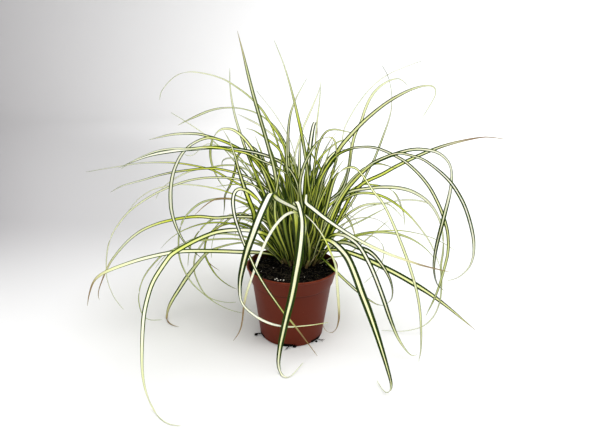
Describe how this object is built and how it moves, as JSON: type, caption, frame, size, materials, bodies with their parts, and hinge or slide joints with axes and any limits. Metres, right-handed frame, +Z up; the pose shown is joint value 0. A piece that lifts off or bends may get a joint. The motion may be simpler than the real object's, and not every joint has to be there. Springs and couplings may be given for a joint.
{
  "type": "carex sedge in a nursery pot",
  "caption": "Variegated ornamental sedge with long arching cream-striped, green-edged leaves, growing in dark compost in a round tapered plastic nursery pot.",
  "frame": {"origin": "middle of the pot's underside, on the surface it stands on", "axes": "+Z up along the pot's axis; -Y is the front, where the wide striped leaves hang over the rim; +X is the viewer's right"},
  "size_m": [0.4832, 0.4086, 0.3325],
  "materials": {
    "pot_plastic": "satin moulded plastic",
    "compost": "moist fibrous peat compost",
    "leaf": "satin leaf, cream to yellow centre stripe with dark green margins",
    "root": "matt dark root"
  },
  "bodies": {
    "root": {"nursery_pot": "pot_plastic", "compost": "compost", "shoot_back_1": "leaf", "shoot_back_2": "leaf", "shoot_back_3": "leaf", "shoot_back_4": "leaf", "shoot_back_5": "leaf", "shoot_back_6": "leaf", "shoot_back_left_1": "leaf", "shoot_back_left_2": "leaf", "shoot_back_left_3": "leaf", "shoot_back_left_4": "leaf", "shoot_back_right_1": "leaf", "shoot_back_right_2": "leaf", "shoot_back_right_3": "leaf", "shoot_back_right_4": "leaf", "shoot_back_right_5": "leaf", "shoot_back_right_6": "leaf", "shoot_centre_1": "leaf", "shoot_centre_2": "leaf", "shoot_centre_3": "leaf", "shoot_centre_4": "leaf", "shoot_centre_5": "leaf", "shoot_centre_6": "leaf", "shoot_centre_7": "leaf", "shoot_centre_8": "leaf", "shoot_front_1": "leaf", "shoot_front_2": "leaf", "shoot_front_left_1": "leaf", "shoot_front_left_2": "leaf", "shoot_front_left_3": "leaf", "shoot_front_left_4": "leaf", "shoot_front_right_1": "leaf", "shoot_front_right_2": "leaf", "shoot_front_right_3": "leaf", "shoot_front_right_4": "leaf", "shoot_front_right_5": "leaf", "shoot_left_1": "leaf", "shoot_left_10": "leaf", "shoot_left_2": "leaf", "shoot_left_3": "leaf", "shoot_left_4": "leaf", "shoot_left_5": "leaf", "shoot_left_6": "leaf", "shoot_left_7": "leaf", "shoot_left_8": "leaf", "shoot_left_9": "leaf", "shoot_right_1": "leaf", "shoot_right_2": "leaf", "shoot_right_3": "leaf", "shoot_right_4": "leaf", "shoot_right_5": "leaf", "drain_root_left": "root", "drain_root_front": "root", "drain_root_right": "root"}
  },
  "joints": []
}
